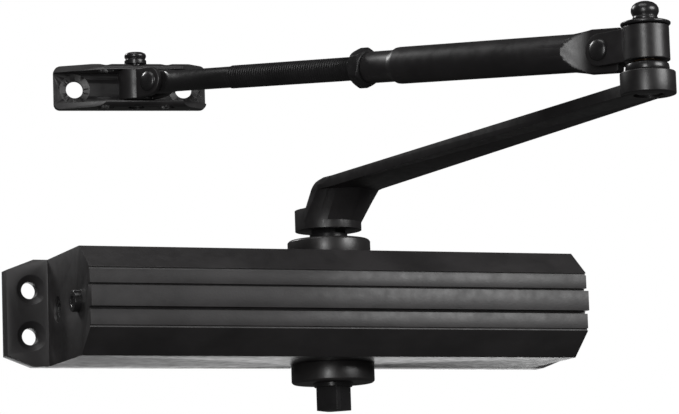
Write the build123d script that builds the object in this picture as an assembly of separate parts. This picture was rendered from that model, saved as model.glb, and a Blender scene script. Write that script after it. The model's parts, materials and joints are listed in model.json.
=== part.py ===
"""Surface-mounted door closer with a regular (scissor) arm.

Frame: X along the body, Y out of the mounting face towards the wall (the room
is at -Y), Z up. The origin is the centre of the four body screw holes, on the
mounting face. Lengths are in millimetres.
"""

from build123d import *
import math
import os

# ---- driving dimensions -------------------------------------------------

# body casting
BODY_LENGTH = 216.0
BODY_HEIGHT = 44.0
BODY_DEPTH = 66.0  # mounting face to the flat front
FRONT_HEIGHT = 24.0  # the flat front between the two sloping faces
SLOPE_DEPTH = 13.6
FLANGE_LENGTH = 17.5
FLANGE_THICK = 7.2
FLANGE_CORNER_X = 11.5
FLANGE_CORNER_Z = 4.4
HOLE_PITCH_X = 230.2
HOLE_PITCH_Z = 19.05
HOLE_R = 3.5
COUNTERSINK_R = 6.2
BAND_GROOVE = 1.2
BAND_GROOVE_DEPTH = 2.4
EDGE_GROOVE = 0.9
EDGE_GROOVE_DEPTH = 1.0
MIDDLE_BAND_HEIGHT = 8.2
MIDDLE_BAND_Z = 0.3
MIDDLE_BAND_PROUD = 1.8
CASTING_EDGE_R = 0.8

# hydraulic bore and what runs in it
BORE_Y = -20.5
BORE_R = 15.0
BORE_LEFT = -94.0
PISTON_GAP = 0.1
PISTON_LEFT = -22.0
PISTON_RIGHT = 60.0
PISTON_SKIRT_R = 9.5
PISTON_SKIRT_DEPTH = 8.0
SEAL_W = 2.4
SEAL_DEEP = 1.8
CHECK_BALL_R = 1.9
PLUG_LENGTH = 15.0
SPRING_WIRE_R = 2.1
SPRING_MEAN_R = 11.4
SPRING_TURNS = 7.0
FOLLOWER_THICK = 5.0
FOLLOWER_TRAVEL = 4.5
POWER_SCREW_R = 4.0
POWER_HEAD_R = 5.0
POWER_HEAD_LENGTH = 7.0

# speed valves, in the front of the casting
VALVE_Y = -50.0
VALVE_R = 4.5
VALVE_BORE_DEPTH = 26.0
VALVE_PROUD = 2.7
OIL_WAY_R = 2.0
OIL_PORT_X = 74.0

# rack and pinion
SPINDLE_X = 11.0
TOOTH_MODULE = 1.5
TEETH = 9
TOOTH_FACE = 9.2  # half the face width
BACKLASH = 0.18
TURN_MAX = 165.0
PRESSURE_ANGLE = 20.0
JOURNAL_R = 7.95
SQUARE_FLATS = 11.4
SQUARE_CORNER_R = 7.3
SQUARE_TURN = 40.0
SQUARE_TOP = 41.9
SQUARE_BOTTOM = -41.4
NECK_TOP = 32.6
NECK_BOTTOM = -31.6
RUNNING_GAP = 0.05

# bearing caps
CAP_R = 17.4
CAP_TOP_HEIGHT = 8.1
CAP_BOTTOM_HEIGHT = 8.1
CAP_SPIGOT_R = 13.0
BEARING_R = 10.2
SHAFT_SEAL_R = 11.4
SHAFT_SEAL_HEIGHT = 3.4

# main arm
ARM_LENGTH = 225.0
ARM_ANGLE = -79.5  # in plan, from +X
HUB_R = 14.0
HUB_BOTTOM = 34.2
HUB_TOP = 42.9
HUB_RIM = 3.0  # height of the full round below the leaning neck
NECK_FOOT = 2.8  # from the spindle to the neck's underside at its edges, where it leaves the hub
NECK_NEAR = 16.6  # the same where it meets the strap, on the shoe's side
NECK_FAR = 20.6  # and on the other side
NECK_BULGE = 6.0  # how much further out the neck stands in its middle, at the strap
NECK_BACK_LOW = 4.8  # from the spindle to the neck's back where it leaves the hub
NECK_BACK_HIGH = 14.5
STRAP_WIDTH_HUB = 24.8
STRAP_WIDTH_ELBOW = 15.2
STRAP_TOP_HUB = 53.2
STRAP_TOP_ELBOW = 59.3
STRAP_THICK = 4.4
WASHER_R = 5.6
WASHER_THICK = 1.4
ARM_SCREW_R = 2.45
ARM_SCREW_HEAD_R = 4.25
ARM_SCREW_HEAD_HEIGHT = 4.2
BOSS_R = 10.3
BOSS_BOTTOM = 54.9
BOSS_TOP = 63.2

# elbow
STUD_R = 4.0
STUD_HEAD_R = 5.6
STUD_HEAD_HEIGHT = 2.6
SPACER_R = 8.2
SPACER_TOP = 66.6
KNUCKLE_R = 8.6
KNUCKLE_BOTTOM = 67.4
KNUCKLE_TOP = 80.2
BUSH_WALL = 1.2
ELBOW_WASHER_R = 9.3
ELBOW_WASHER_THICK = 1.9
ELBOW_NUT_R = 5.2
ELBOW_NUT_HEIGHT = 7.3
ELBOW_PIN_REACH = 18.2
EAR_THICK = 2.6
EAR_R = 6.1
TONGUE_THICK = 4.2
TONGUE_GAP = 0.35
PIN_R = 2.6
PIN_HEAD_R = 4.2
PIN_HEAD_HEIGHT = 1.6

# forearm
TUBE_R = 7.25
TUBE_BORE_R = 5.6
TUBE_TONGUE_HEIGHT = 17.0
TUBE_FLAT_PAST = 7.1  # how far the flat runs past the rivet, towards the sleeve
TUBE_FLAT_CORNER = 1.6
TUBE_ROUND_START = 15.5  # from the rivet, where the flattened end becomes round
TUBE_COLLAR_START = 102.0
TUBE_END = 115.7
TUBE_COLLAR_R = 6.25
ROD_R = 4.75
ROD_THREAD_GAP = 0.1
ROD_INSIDE = 42.0
ROD_PLAIN_R = 4.35
ROD_PLAIN_LENGTH = 44.0
ROD_TONGUE_HEIGHT = 10.0
ROD_FLAT_PAST = 4.1
NUT_FLATS = 14.3
NUT_LENGTH = 5.6

# frame shoe
SHOE_TURN = -10.4  # in plan, from +X
SHOE_LENGTH = 64.2
SHOE_HEIGHT = 18.2
SHOE_DEPTH = 14.6
SHOE_WALL = 2.5
SHOE_TAPER_LEFT = 21.0
SHOE_TAPER_RIGHT = 11.0
SHOE_END_DEPTH = 5.5
SHOE_OFFSET = -1.8  # from the pivot to the middle of the shoe
SHOE_HOLE_PITCH = 46.0
SHOE_HOLE_R = 3.6
PIVOT_X = -68.6
PIVOT_Y = -9.0
PIVOT_Z = 95.4
PIVOT_DEPTH = 10.3  # from the shoe's back to the pivot
PIVOT_PITCH = 12.7
PIVOT_HOLE_R = 3.4
PIVOT_R = 2.95
SWIVEL_R = 7.4
SWIVEL_PIN_REACH = 12.0
SWIVEL_EAR_R = 6.0
BOLT_COLLAR_R = 4.6
BOLT_COLLAR_HEIGHT = 1.8
BOLT_WAIST_R = 4.0
BOLT_WAIST_HEIGHT = 0.5
BOLT_HEAD_R = 4.55
BOLT_HEAD_HEIGHT = 2.8

# ---- derived places -----------------------------------------------------

HALF_L = BODY_LENGTH / 2
HALF_H = BODY_HEIGHT / 2
FRONT_Y = -BODY_DEPTH
SLOPE_Y = FRONT_Y + SLOPE_DEPTH
PITCH_R = TOOTH_MODULE * TEETH / 2
STROKE = math.radians(TURN_MAX) * PITCH_R
RACK_PITCH = math.pi * TOOTH_MODULE
FOLLOWER_X = BORE_LEFT + FOLLOWER_TRAVEL + 0.4
KNUCKLE_Z = (KNUCKLE_BOTTOM + KNUCKLE_TOP) / 2


spindle = Vector(SPINDLE_X, BORE_Y, 0)
arm_way = Vector(1, 0, 0).rotate(Axis.Z, ARM_ANGLE)
elbow = spindle + arm_way * ARM_LENGTH + Vector(0, 0, KNUCKLE_Z)
pivot = Vector(PIVOT_X, PIVOT_Y, PIVOT_Z)
fore_way = Vector(pivot.X - elbow.X, pivot.Y - elbow.Y, 0).normalized()
elbow_pin = elbow + fore_way * ELBOW_PIN_REACH
shoe_pin = pivot - fore_way * SWIVEL_PIN_REACH
tube_way = (shoe_pin - elbow_pin).normalized()
REACH = (shoe_pin - elbow_pin).length
pin_way = Vector(0, 0, 1).cross(fore_way)

# local frames: x along the piece, z up (or nearly up)
arm_plane = Plane(origin=spindle, x_dir=arm_way, z_dir=(0, 0, 1))
arm_side = Plane(origin=spindle, x_dir=arm_way, z_dir=arm_way.cross(Vector(0, 0, 1)))
knuckle_plane = Plane(origin=elbow, x_dir=fore_way, z_dir=(0, 0, 1))
tube_plane = Plane(origin=elbow_pin, x_dir=tube_way, z_dir=tube_way.cross(pin_way))
swivel_plane = Plane(origin=pivot, x_dir=-fore_way, z_dir=(0, 0, 1))
shoe_way = Vector(1, 0, 0).rotate(Axis.Z, SHOE_TURN)
shoe_back = Vector(0, 0, 1).cross(shoe_way)
shoe_origin = pivot + shoe_back * PIVOT_DEPTH + shoe_way * SHOE_OFFSET
shoe_plane = Plane(origin=shoe_origin, x_dir=shoe_way, z_dir=(0, 0, 1))


# ---- helpers ------------------------------------------------------------


def drum(radius, start, end, way="z"):
    """A cylinder about a local axis, from start to end along it."""
    turn = {"x": (0, 90, 0), "y": (-90, 0, 0), "z": (0, 0, 0)}[way]
    solid = Cylinder(radius, end - start, align=(Align.CENTER, Align.CENTER, Align.MIN))
    lift = {"x": (start, 0, 0), "y": (0, start, 0), "z": (0, 0, start)}[way]
    return Pos(*lift) * Rot(*turn) * solid


def ring(outer, inner, start, end, way="z"):
    """A plain ring about a local axis."""
    return drum(outer, start, end, way) - drum(inner, start - 1, end + 1, way)


def block(x0, x1, y0, y1, z0, z1):
    """A box between two corners."""
    return Pos((x0 + x1) / 2, (y0 + y1) / 2, (z0 + z1) / 2) * Box(x1 - x0, y1 - y0, z1 - z0)


def dome(radius, height, start, way=1):
    """A button head: a short drum under a spherical cap, rising along z."""
    rim = height * 0.35
    rise = height - rim
    ball_r = (radius**2 + rise**2) / (2 * rise)
    ball = Pos(0, 0, start + way * (height - ball_r)) * Sphere(ball_r)
    low, high = sorted((start, start + way * height))
    return drum(radius, low, high) & ball


def hex_socket(flats, start, end, way="z"):
    """A hexagonal recess about a local axis."""
    turn = {"x": (0, 90, 0), "z": (0, 0, 0)}[way]
    lift = {"x": (start, 0, 0), "z": (0, 0, start)}[way]
    outline = RegularPolygon(flats / 2, 6, major_radius=False)
    return Pos(*lift) * Rot(*turn) * extrude(outline, end - start)


def save(name, shape):
    """Write one node to its STEP file."""
    solids = shape.solids()
    whole = solids[0] if len(solids) == 1 else Compound(children=list(solids))
    export_step(whole, os.path.join("parts", name + ".step"))


# ---- casting and its fixed fittings -------------------------------------


def casting_section():
    """The end view of the body: a box whose front has two sloping faces."""
    low, front = -HALF_H, FRONT_HEIGHT / 2
    upper = [(0, HALF_H), (SLOPE_Y, HALF_H), (FRONT_Y, front)]
    outline = Polyline(*upper, (FRONT_Y, -front), (SLOPE_Y, low), (0, low), close=True)
    end = Plane(origin=(-HALF_L, 0, 0), x_dir=(0, 1, 0), z_dir=(1, 0, 0))
    return end * make_face(outline)


def flange():
    """The screw plate behind the casting, with cropped corners."""
    reach = HALF_L + FLANGE_LENGTH
    x_in, z_in = reach - FLANGE_CORNER_X, HALF_H - FLANGE_CORNER_Z
    corners = [(x_in, HALF_H), (reach, z_in), (reach, -z_in), (x_in, -HALF_H)]
    corners += [(-x, z) for x, z in reversed(corners)]
    plate = Plane.XZ * make_face(Polyline(*corners, close=True))
    return extrude(plate, FLANGE_THICK)


def screw_hole(x, z):
    """A countersunk hole through the flange."""
    sink = COUNTERSINK_R - HOLE_R
    cone = Cone(HOLE_R, COUNTERSINK_R, sink, align=(Align.CENTER, Align.CENTER, Align.MIN))
    hole = drum(HOLE_R, -FLANGE_THICK - 1, 1, "y")
    return Pos(x, 0, z) * (hole + Pos(0, sink - FLANGE_THICK, 0) * Rot(90, 0, 0) * cone)


def band_grooves():
    """The long grooves that part the front into three bands."""
    half = MIDDLE_BAND_HEIGHT / 2
    top = MIDDLE_BAND_Z + half
    bottom = MIDDLE_BAND_Z - half - BAND_GROOVE
    cuts = []
    for low, width, deep in (
        (top, BAND_GROOVE, BAND_GROOVE_DEPTH),
        (bottom, BAND_GROOVE, BAND_GROOVE_DEPTH),
        (FRONT_HEIGHT / 2 - EDGE_GROOVE, EDGE_GROOVE, EDGE_GROOVE_DEPTH),
        (-FRONT_HEIGHT / 2, EDGE_GROOVE, EDGE_GROOVE_DEPTH),
    ):
        cuts.append(block(-HALF_L - 1, HALF_L + 1, FRONT_Y - 1, FRONT_Y + deep, low, low + width))
    return cuts


def valve_bores():
    """At each end of the front: a valve bore, its oil way and a port to the main bore."""
    ways = []
    for side in (-1, 1):
        mouth, inner = sorted((side * (HALF_L + 1), side * (HALF_L - VALVE_BORE_DEPTH)))
        port = side * OIL_PORT_X
        ways.append(Pos(0, VALVE_Y, 0) * drum(VALVE_R, mouth, inner, "x"))
        near, far = sorted((port - side * 2, side * (HALF_L - VALVE_BORE_DEPTH + 1)))
        ways.append(Pos(0, VALVE_Y, 0) * drum(OIL_WAY_R, near, far, "x"))
        ways.append(Pos(port, 0, 0) * drum(OIL_WAY_R, VALVE_Y, BORE_Y, "y"))
    return ways


def body_casting():
    """The body with its mounting flange, bores and grooved front."""
    body = extrude(casting_section(), BODY_LENGTH)
    long_edges = body.edges().filter_by(Axis.X)
    body = fillet(long_edges.filter_by(lambda e: e.center().Y < -1), CASTING_EDGE_R)
    proud = MIDDLE_BAND_HEIGHT / 2
    low, high = MIDDLE_BAND_Z - proud, MIDDLE_BAND_Z + proud
    band = block(-HALF_L, HALF_L, FRONT_Y - MIDDLE_BAND_PROUD, FRONT_Y + 1, low, high)
    body = body + band + flange()
    for cut in band_grooves():
        body -= cut
    for x in (-HOLE_PITCH_X / 2, HOLE_PITCH_X / 2):
        for z in (-HOLE_PITCH_Z / 2, HOLE_PITCH_Z / 2):
            body -= screw_hole(x, z)
    bore = Pos(0, BORE_Y, 0)
    body -= bore * drum(BORE_R, BORE_LEFT, HALF_L + 1, "x")
    body -= bore * drum(POWER_SCREW_R + 0.3, -HALF_L - 1, BORE_LEFT + 1, "x")
    body -= bore * drum(POWER_HEAD_R + 0.4, -HALF_L - 1, -HALF_L + POWER_HEAD_LENGTH + 0.6, "x")
    body -= Pos(spindle) * drum(CAP_SPIGOT_R, -HALF_H - 1, HALF_H + 1)
    for way in valve_bores():
        body -= way
    return body


def end_plug():
    """The threaded plug that closes the right end of the bore, with a key socket."""
    start = HALF_L - PLUG_LENGTH + 3
    groove = ring(BORE_R + 1, BORE_R - SEAL_DEEP, start, start + SEAL_W, "x")
    plug = drum(BORE_R, HALF_L - PLUG_LENGTH, HALF_L - 0.5, "x") - groove
    plug -= hex_socket(12, HALF_L - 8, HALF_L, "x")
    return Pos(0, BORE_Y, 0) * plug


def plug_seal():
    """The O-ring in the plug's groove."""
    start = HALF_L - PLUG_LENGTH + 3
    return Pos(0, BORE_Y, 0) * ring(BORE_R, BORE_R - SEAL_DEEP, start, start + SEAL_W, "x")


def bearing_cap(side):
    """The round cap screwed into the casting round the spindle; side is 1 on top, -1 below."""
    height = CAP_TOP_HEIGHT if side > 0 else CAP_BOTTOM_HEIGHT
    outer = HALF_H + height
    cap = drum(CAP_R, HALF_H, outer)
    cap = chamfer(cap.edges().group_by(Axis.Z)[-1], 0.8)
    cap += drum(CAP_SPIGOT_R, BORE_R + 0.6, HALF_H)
    cap -= drum(JOURNAL_R + 0.5, 0, outer + 1)
    cap -= drum(BEARING_R, 0, outer - SHAFT_SEAL_HEIGHT - 3.0)
    cap -= drum(SHAFT_SEAL_R, outer - SHAFT_SEAL_HEIGHT - 1.0, outer - 1.0)
    return Pos(spindle) * (cap if side > 0 else Rot(180, 0, 0) * cap)


def spindle_bearing(side):
    """The bronze bush in one cap."""
    height = CAP_TOP_HEIGHT if side > 0 else CAP_BOTTOM_HEIGHT
    bush = ring(BEARING_R, JOURNAL_R + RUNNING_GAP, BORE_R + 0.6, HALF_H + height - SHAFT_SEAL_HEIGHT - 3.0)
    return Pos(spindle) * (bush if side > 0 else Rot(180, 0, 0) * bush)


def shaft_seal(side):
    """The lip seal outside each bearing."""
    height = CAP_TOP_HEIGHT if side > 0 else CAP_BOTTOM_HEIGHT
    top = HALF_H + height - 1.0
    seal = ring(SHAFT_SEAL_R, JOURNAL_R + RUNNING_GAP, top - SHAFT_SEAL_HEIGHT, top)
    return Pos(spindle) * (seal if side > 0 else Rot(180, 0, 0) * seal)


# ---- valves and power screw ---------------------------------------------


def valve(side):
    """A needle valve: slotted end, seal groove, thread and point."""
    mouth = HALF_L + (VALVE_PROUD if side < 0 else -1.5)
    root = HALF_L - VALVE_BORE_DEPTH + 1.5
    body = drum(VALVE_R - 0.1, root + 6, mouth, "x")
    body -= ring(VALVE_R + 1, VALVE_R - 1.5, HALF_L - 8, HALF_L - 8 + SEAL_W, "x")
    body -= hex_socket(4, mouth - 3.5, mouth + 1, "x")
    needle = Cone(0.6, OIL_WAY_R, 6, align=(Align.CENTER, Align.CENTER, Align.MIN))
    body += Pos(root, 0, 0) * Rot(0, 90, 0) * needle
    return Pos(0, VALVE_Y, 0) * (body if side > 0 else Rot(0, 0, 180) * body)


def valve_seal(side):
    """The O-ring on a valve."""
    seal = ring(VALVE_R - 0.1, VALVE_R - 1.5, HALF_L - 8, HALF_L - 8 + SEAL_W, "x")
    return Pos(0, VALVE_Y, 0) * (seal if side > 0 else Rot(0, 0, 180) * seal)


def power_screw():
    """The screw in the left end that moves the spring's follower."""
    head_end = -HALF_L + POWER_HEAD_LENGTH
    screw = drum(POWER_HEAD_R, -HALF_L + 0.8, head_end, "x")
    screw += drum(POWER_SCREW_R, head_end, FOLLOWER_X + FOLLOWER_THICK + 7, "x")
    screw -= hex_socket(5, -HALF_L, -HALF_L + 4.5, "x")
    return Pos(0, BORE_Y, 0) * screw


def spring_follower():
    """The nut plate that the power screw drives and the spring pushes on."""
    plate = ring(BORE_R - 0.35, POWER_SCREW_R + RUNNING_GAP, FOLLOWER_X, FOLLOWER_X + FOLLOWER_THICK, "x")
    hub_r = SPRING_MEAN_R - SPRING_WIRE_R - 1.2
    hub_end = FOLLOWER_X + FOLLOWER_THICK + 6
    hub = ring(hub_r, POWER_SCREW_R + RUNNING_GAP, FOLLOWER_X + FOLLOWER_THICK, hub_end, "x")
    return Pos(0, BORE_Y, 0) * (plate + hub)


def main_spring():
    """The compression spring between follower and piston."""
    start = FOLLOWER_X + FOLLOWER_THICK + SPRING_WIRE_R + 0.3
    length = PISTON_LEFT - SPRING_WIRE_R - 0.3 - start
    coil = Helix(length / SPRING_TURNS, length, SPRING_MEAN_R)
    wire = Plane(origin=coil @ 0, z_dir=coil % 0) * Circle(SPRING_WIRE_R)
    spring = sweep(wire, coil)
    return Pos(start, BORE_Y, 0) * Rot(0, 90, 0) * spring


# ---- rack and pinion ----------------------------------------------------


def rack_material(along, out, gap):
    """True where the rack has metal: along runs with the rack, out is the distance from the spindle axis."""
    depth = out - PITCH_R
    if depth > 1.25 * TOOTH_MODULE - gap:
        return True
    if depth < -TOOTH_MODULE - gap:
        return False
    half = RACK_PITCH / 4 + depth * math.tan(math.radians(PRESSURE_ANGLE)) + gap
    nearest = (along + RACK_PITCH / 2) % RACK_PITCH - RACK_PITCH / 2
    return abs(nearest) < half


def pinion_radius(angle):
    """The largest radius that the rolling rack leaves free at this angle from a tooth gap's middle."""
    low, high = PITCH_R - 1.4 * TOOTH_MODULE, PITCH_R + 0.92 * TOOTH_MODULE
    rolls = [math.radians(r * 1.5) for r in range(-50, 51)]
    for _ in range(14):
        mid = (low + high) / 2
        places = [(mid * math.sin(angle + r) - PITCH_R * r, mid * math.cos(angle + r)) for r in rolls]
        hit = any(rack_material(along, height, BACKLASH) for along, height in places)
        low, high = (low, mid) if hit else (mid, high)
    return low


def pinion_section():
    """The toothed section, seen along the spindle, with a gap facing the rack."""
    steps = 16
    pitch = 2 * math.pi / TEETH
    radii = [pinion_radius((i / steps - 0.5) * pitch) for i in range(steps)]
    points = []
    for tooth in range(TEETH):
        for i, radius in enumerate(radii):
            turn = (tooth + i / steps - 0.5) * pitch - math.pi / 2
            points.append((radius * math.cos(turn), radius * math.sin(turn)))
    return make_face(Polyline(*points, close=True))


def square_end(low, high):
    """A square with its corners turned off, for an arm hub."""
    square = extrude(Rectangle(SQUARE_FLATS, SQUARE_FLATS), high - low)
    return Pos(0, 0, low) * Rot(0, 0, SQUARE_TURN) * square & drum(SQUARE_CORNER_R, low, high)


def pinion_shaft():
    """The spindle: toothed middle, two journals, a square at each end, a tapped top."""
    shaft = Pos(0, 0, -TOOTH_FACE) * extrude(pinion_section(), 2 * TOOTH_FACE)
    shaft += drum(JOURNAL_R, TOOTH_FACE, NECK_TOP)
    shaft += drum(JOURNAL_R, NECK_BOTTOM, -TOOTH_FACE)
    shaft += square_end(NECK_TOP, SQUARE_TOP)
    shaft += square_end(SQUARE_BOTTOM, NECK_BOTTOM)
    shaft -= drum(2.5, SQUARE_TOP - 12, SQUARE_TOP + 1)
    return Pos(spindle) * shaft


def piston():
    """The piston: a head at each end of a rack that lies in front of the spindle."""
    radius = BORE_R - PISTON_GAP
    body = drum(radius, PISTON_LEFT, PISTON_RIGHT, "x")
    window_left = SPINDLE_X - 9.4
    window_right = SPINDLE_X + STROKE + 9.4
    journal = JOURNAL_R + 0.45
    rack_root = -PITCH_R - 1.25 * TOOTH_MODULE
    tall = BORE_R + 1
    body -= block(window_left, window_right, rack_root, PITCH_R + 2.1, -TOOTH_FACE - 0.4, TOOTH_FACE + 0.4)
    body -= block(window_left, window_right, -journal, PITCH_R + 2.1, -tall, tall)
    tip = -PITCH_R + TOOTH_MODULE
    half = RACK_PITCH / 4
    slant = math.tan(math.radians(PRESSURE_ANGLE))
    wide, thin = half + 1.25 * TOOTH_MODULE * slant, half - TOOTH_MODULE * slant
    face = TOOTH_FACE - 0.4
    for n in range(-2, 6):
        middle = SPINDLE_X + n * RACK_PITCH
        if middle - wide < window_left or middle + wide > window_right:
            continue
        outline = Polyline(
            (middle - wide, rack_root - 0.5),
            (middle - wide, rack_root),
            (middle - thin, tip),
            (middle + thin, tip),
            (middle + wide, rack_root),
            (middle + wide, rack_root - 0.5),
            close=True,
        )
        body += Pos(0, 0, -face) * extrude(make_face(outline), 2 * face)
    for x in piston_seal_places():
        body -= ring(BORE_R + 1, radius - SEAL_DEEP, x, x + SEAL_W, "x")
    body -= drum(PISTON_SKIRT_R, PISTON_LEFT - 1, PISTON_LEFT + PISTON_SKIRT_DEPTH, "x")
    body -= drum(CHECK_BALL_R + 0.2, PISTON_RIGHT - 9, PISTON_RIGHT + 1, "x")
    body -= drum(1.2, window_right - 1, PISTON_RIGHT, "x")
    return Pos(0, BORE_Y, 0) * body


def piston_seal_places():
    """Where each head's seal starts."""
    return (PISTON_LEFT + 11, PISTON_RIGHT - 7)


def piston_seals():
    """The two seal rings."""
    radius = BORE_R - PISTON_GAP
    rings = [ring(radius, radius - SEAL_DEEP, x, x + SEAL_W, "x") for x in piston_seal_places()]
    return Pos(0, BORE_Y, 0) * (rings[0] + rings[1])


def check_ball():
    """The one-way ball in the piston's right head."""
    return Pos(PISTON_RIGHT - 6.5, BORE_Y, 0) * Sphere(CHECK_BALL_R)


# ---- main arm -----------------------------------------------------------


def strap_outline():
    """The strap in plan: as wide as the hub at the neck, then tapered to the elbow."""
    neck, near, far = HUB_R - 0.1, STRAP_WIDTH_HUB / 2, STRAP_WIDTH_ELBOW / 2
    edge = [(0, neck), (14, neck), (24, near), (ARM_LENGTH, far)]
    return make_face(Polyline(*edge, *((x, -y) for x, y in reversed(edge)), close=True))


def strap_profile():
    """The strap from the side: nearly level, from above the hub to the elbow."""
    start = NECK_BACK_LOW + 1
    corners = [(start, STRAP_TOP_HUB), (ARM_LENGTH, STRAP_TOP_ELBOW)]
    corners += [(x, z - STRAP_THICK) for x, z in reversed(corners)]
    return make_face(Polyline(*corners, close=True))


def neck_section(near, middle, far, wide):
    """A section of the neck: its rounded front, and a flat back near the spindle."""
    front = ThreePointArc((near, -wide), (middle, 0), (far, wide))
    back = Polyline((far, wide), (-NECK_FOOT, wide), (-NECK_FOOT, -wide), (near, -wide))
    return make_face([front, back])


def leaning_neck():
    """The neck from the hub's rim up to the strap, leaning out towards the elbow."""
    round_r, wide = HUB_R - 0.1, HUB_R - 0.1
    foot, top = HUB_BOTTOM + HUB_RIM, STRAP_TOP_HUB - STRAP_THICK / 2
    narrow = math.sqrt(round_r**2 - NECK_FOOT**2)
    low = Pos(0, 0, foot) * neck_section(NECK_FOOT, round_r, NECK_FOOT, narrow)
    high = Pos(0, 0, top) * neck_section(NECK_NEAR, (NECK_NEAR + NECK_FAR) / 2 + NECK_BULGE, NECK_FAR, wide)
    return arm_plane * loft([low, high], ruled=True)


def behind_neck():
    """The space above the hub and behind the neck, for the arm screw."""
    top = STRAP_TOP_ELBOW + 10
    bend = (NECK_BACK_HIGH - 4.4, STRAP_TOP_HUB - 3.2)
    crest = (NECK_BACK_HIGH, STRAP_TOP_HUB - 0.8)
    level = (NECK_BACK_HIGH + 6, STRAP_TOP_HUB + 0.9)
    corners = [(NECK_BACK_LOW, HUB_TOP), bend, crest, level, (NECK_BACK_HIGH + 6, top), (-HUB_R * 2, top)]
    corners.append((-HUB_R * 2, HUB_TOP))
    return extrude(arm_side * make_face(Polyline(*corners, close=True)), HUB_R + 2, both=True)


def main_arm():
    """The forged arm from the spindle to the elbow."""
    plan = arm_plane * extrude(strap_outline(), BOSS_TOP)
    side = extrude(arm_side * strap_profile(), HUB_R + 2, both=True)
    strap = plan & side
    hub = Pos(spindle) * drum(HUB_R, HUB_BOTTOM, HUB_TOP)
    boss = arm_plane * Pos(ARM_LENGTH, 0, 0) * drum(BOSS_R, BOSS_BOTTOM, BOSS_TOP)
    arm = strap + leaning_neck() + hub - behind_neck() + boss
    arm -= Pos(spindle) * square_end(HUB_BOTTOM - 1, HUB_TOP + 1)
    arm -= Pos(spindle) * drum(WASHER_R + 0.2, HUB_TOP, STRAP_TOP_HUB + 9)
    seat = drum(STUD_R, BOSS_BOTTOM - 1, BOSS_TOP + 1)
    seat += drum(STUD_HEAD_R, BOSS_BOTTOM - 1, BOSS_BOTTOM + STUD_HEAD_HEIGHT)
    return arm - arm_plane * Pos(ARM_LENGTH, 0, 0) * seat


def arm_screw():
    """The socket-head screw that draws the hub onto the spindle."""
    seat = HUB_TOP + WASHER_THICK
    screw = drum(ARM_SCREW_R, SQUARE_TOP - 11, seat)
    head = drum(ARM_SCREW_HEAD_R, seat, seat + ARM_SCREW_HEAD_HEIGHT)
    screw += chamfer(head.edges().group_by(Axis.Z)[-1], 0.5)
    screw -= hex_socket(4, seat + 1.6, seat + ARM_SCREW_HEAD_HEIGHT + 1)
    return Pos(spindle) * screw


def arm_washer():
    """The washer under the arm screw."""
    return Pos(spindle) * ring(WASHER_R, ARM_SCREW_R, HUB_TOP, HUB_TOP + WASHER_THICK)


# ---- elbow --------------------------------------------------------------


def at_elbow(shape):
    """Move a shape made about the local z axis, at true height, to the elbow's axis."""
    return Plane(origin=(elbow.X, elbow.Y, 0), x_dir=fore_way, z_dir=(0, 0, 1)) * shape


def elbow_stud():
    """The stud riveted into the arm, which the knuckle turns on."""
    stud = drum(STUD_R, BOSS_BOTTOM + 0.3, KNUCKLE_TOP + ELBOW_WASHER_THICK + 3)
    stud += drum(STUD_HEAD_R, BOSS_BOTTOM + 0.3, BOSS_BOTTOM + STUD_HEAD_HEIGHT)
    return at_elbow(stud)


def elbow_spacer():
    """The collar between arm and knuckle."""
    collar = ring(SPACER_R, STUD_R, BOSS_TOP, SPACER_TOP)
    return at_elbow(fillet(collar.edges().filter_by(GeomType.CIRCLE).filter_by(lambda e: e.radius > 5), 0.9))


def elbow_washer():
    """The brimmed washer on top of the knuckle."""
    low = KNUCKLE_TOP + 0.3
    washer = ring(ELBOW_WASHER_R, STUD_R, low, low + ELBOW_WASHER_THICK)
    return at_elbow(chamfer(washer.edges().group_by(Axis.Z)[-1].filter_by(lambda e: e.radius > 5), 0.7))


def elbow_nut():
    """The domed rivet cap that closes the elbow."""
    low = KNUCKLE_TOP + ELBOW_WASHER_THICK + 0.3
    cap = dome(ELBOW_NUT_R, ELBOW_NUT_HEIGHT, low)
    return at_elbow(cap - drum(STUD_R, low - 1, KNUCKLE_TOP + ELBOW_WASHER_THICK + 3))


def fork_ear(reach, radius, thick, half_gap, sleeve_r, side):
    """One ear of a fork: a plate with a round end, from a sleeve at the origin, side +1 or -1."""
    plate = block(0, reach, -thick / 2, thick / 2, -radius, radius)
    plate += Pos(reach, 0, 0) * drum(radius, -thick / 2, thick / 2, "y")
    ear = Pos(0, side * (half_gap + thick / 2), 0) * plate
    return ear - drum(sleeve_r, -radius - 1, radius + 1)


def elbow_knuckle():
    """The sleeve that turns on the stud, with two ears for the forearm."""
    half = (KNUCKLE_TOP - KNUCKLE_BOTTOM) / 2
    bore = STUD_R + BUSH_WALL + RUNNING_GAP
    gap = TONGUE_THICK / 2 + TONGUE_GAP
    body = drum(KNUCKLE_R, -half, half)
    for side in (-1, 1):
        body += fork_ear(ELBOW_PIN_REACH, EAR_R, EAR_THICK, gap, bore, side)
    body -= drum(bore, -half - 1, half + 1)
    body -= Pos(ELBOW_PIN_REACH, 0, 0) * drum(PIN_R, -KNUCKLE_R, KNUCKLE_R, "y")
    return knuckle_plane * body


def elbow_bush():
    """The bronze bush in the knuckle."""
    half = (KNUCKLE_TOP - KNUCKLE_BOTTOM) / 2
    return knuckle_plane * ring(STUD_R + BUSH_WALL + RUNNING_GAP, STUD_R + RUNNING_GAP, -half, half)


def fork_rivet(half_width):
    """A rivet across a fork, with a low head at each end."""
    pin = drum(PIN_R, -half_width, half_width, "y")
    for side in (-1, 1):
        head = Rot(-90 * side, 0, 0) * dome(PIN_HEAD_R, PIN_HEAD_HEIGHT, half_width)
        pin += head
    return pin


def tube_rivet():
    """The rivet that the forearm tilts on at the elbow."""
    half = TONGUE_THICK / 2 + TONGUE_GAP + EAR_THICK
    return knuckle_plane * Pos(ELBOW_PIN_REACH, 0, 0) * fork_rivet(half)


# ---- forearm ------------------------------------------------------------


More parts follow.
